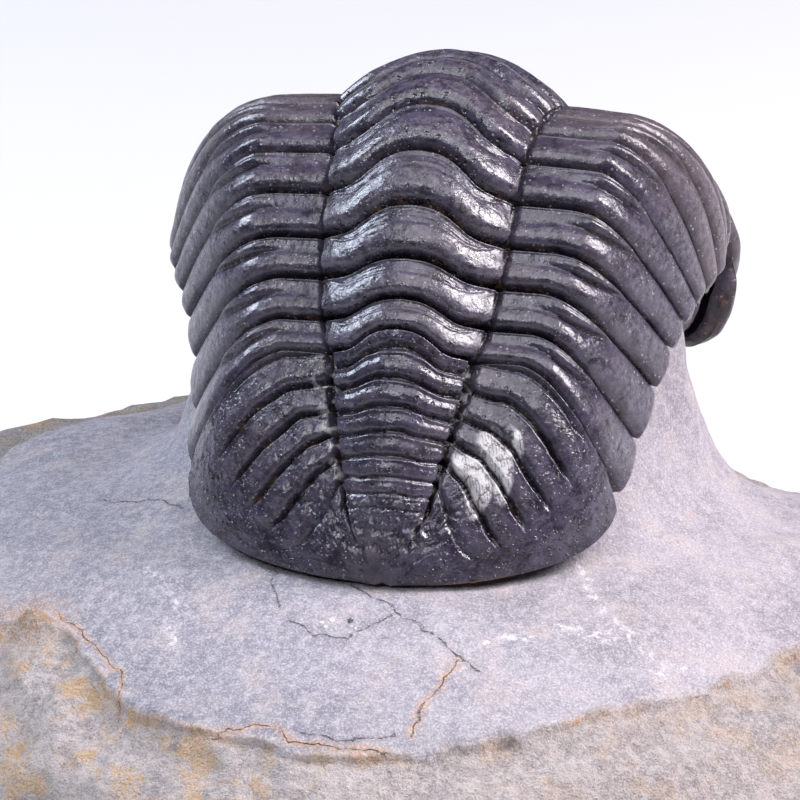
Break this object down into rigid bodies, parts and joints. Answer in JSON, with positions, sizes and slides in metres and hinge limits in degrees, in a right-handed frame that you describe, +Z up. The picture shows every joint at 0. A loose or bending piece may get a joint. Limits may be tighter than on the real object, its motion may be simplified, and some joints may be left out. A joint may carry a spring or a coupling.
{
  "type": "trilobite fossil",
  "caption": "Flexed trilobite fossil with glossy black shell plates, arched over a pedestal of pale grey matrix rock with a flat base.",
  "frame": {"origin": "on the rock's flat underside, below the middle of the rock's outline", "axes": "+Z up from the flat base, +Y from the tail towards the head along the fossil, +X to the viewer's right when looking at the tail"},
  "size_m": [0.0734, 0.0645, 0.0397],
  "materials": {
    "fossil_shell": "near-black calcite replacing the shell, prepared and semi-gloss, with a few worn pale spots",
    "matrix": "fine grey-lilac limestone, dull and smooth where it was prepared, rough and warm brown where it broke"
  },
  "bodies": {
    "root": {"matrix_rock": "matrix", "cephalon": "fossil_shell", "thoracic_segment_01": "fossil_shell", "thoracic_segment_02": "fossil_shell", "thoracic_segment_03": "fossil_shell", "thoracic_segment_04": "fossil_shell", "thoracic_segment_05": "fossil_shell", "thoracic_segment_06": "fossil_shell", "thoracic_segment_07": "fossil_shell", "thoracic_segment_08": "fossil_shell", "thoracic_segment_09": "fossil_shell", "thoracic_segment_10": "fossil_shell", "thoracic_segment_11": "fossil_shell", "pygidium": "fossil_shell"}
  },
  "joints": []
}
